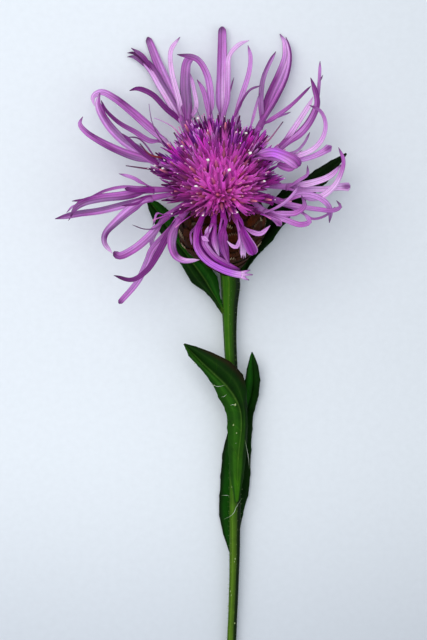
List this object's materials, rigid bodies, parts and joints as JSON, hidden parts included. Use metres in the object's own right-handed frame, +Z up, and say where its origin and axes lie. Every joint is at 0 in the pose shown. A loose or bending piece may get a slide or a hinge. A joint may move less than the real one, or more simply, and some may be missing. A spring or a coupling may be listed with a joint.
{
  "type": "cornflower",
  "caption": "Cut purple meadow cornflower lying on a surface, with strap-like ray florets, a brush of disc florets, a scaly involucre and narrow leaves on a slim stem.",
  "frame": {"origin": "on the surface it lies on, below the middle of the whole flower's outline", "axes": "+Y along the stem from the cut end to the flower head, +Z up from the surface, +X to the right of the head seen from above"},
  "size_m": [0.0492, 0.1107, 0.0232],
  "materials": {
    "stem_green": "fresh green plant skin, ribbed, satin",
    "leaf_green": "dark green leaf blade, satin",
    "bract_brown": "dry brown papery scales, matt",
    "ray_lilac": "soft lilac petal, slightly velvety",
    "disc_magenta": "deep magenta petal, slightly velvety"
  },
  "bodies": {
    "root": {"stem": "stem_green", "leaf_upper_left": "leaf_green", "leaf_upper_right": "leaf_green", "leaf_middle_left": "leaf_green", "leaf_middle_right": "leaf_green", "involucre": "bract_brown", "ray_florets": "ray_lilac", "disc_florets": "disc_magenta"}
  },
  "joints": []
}
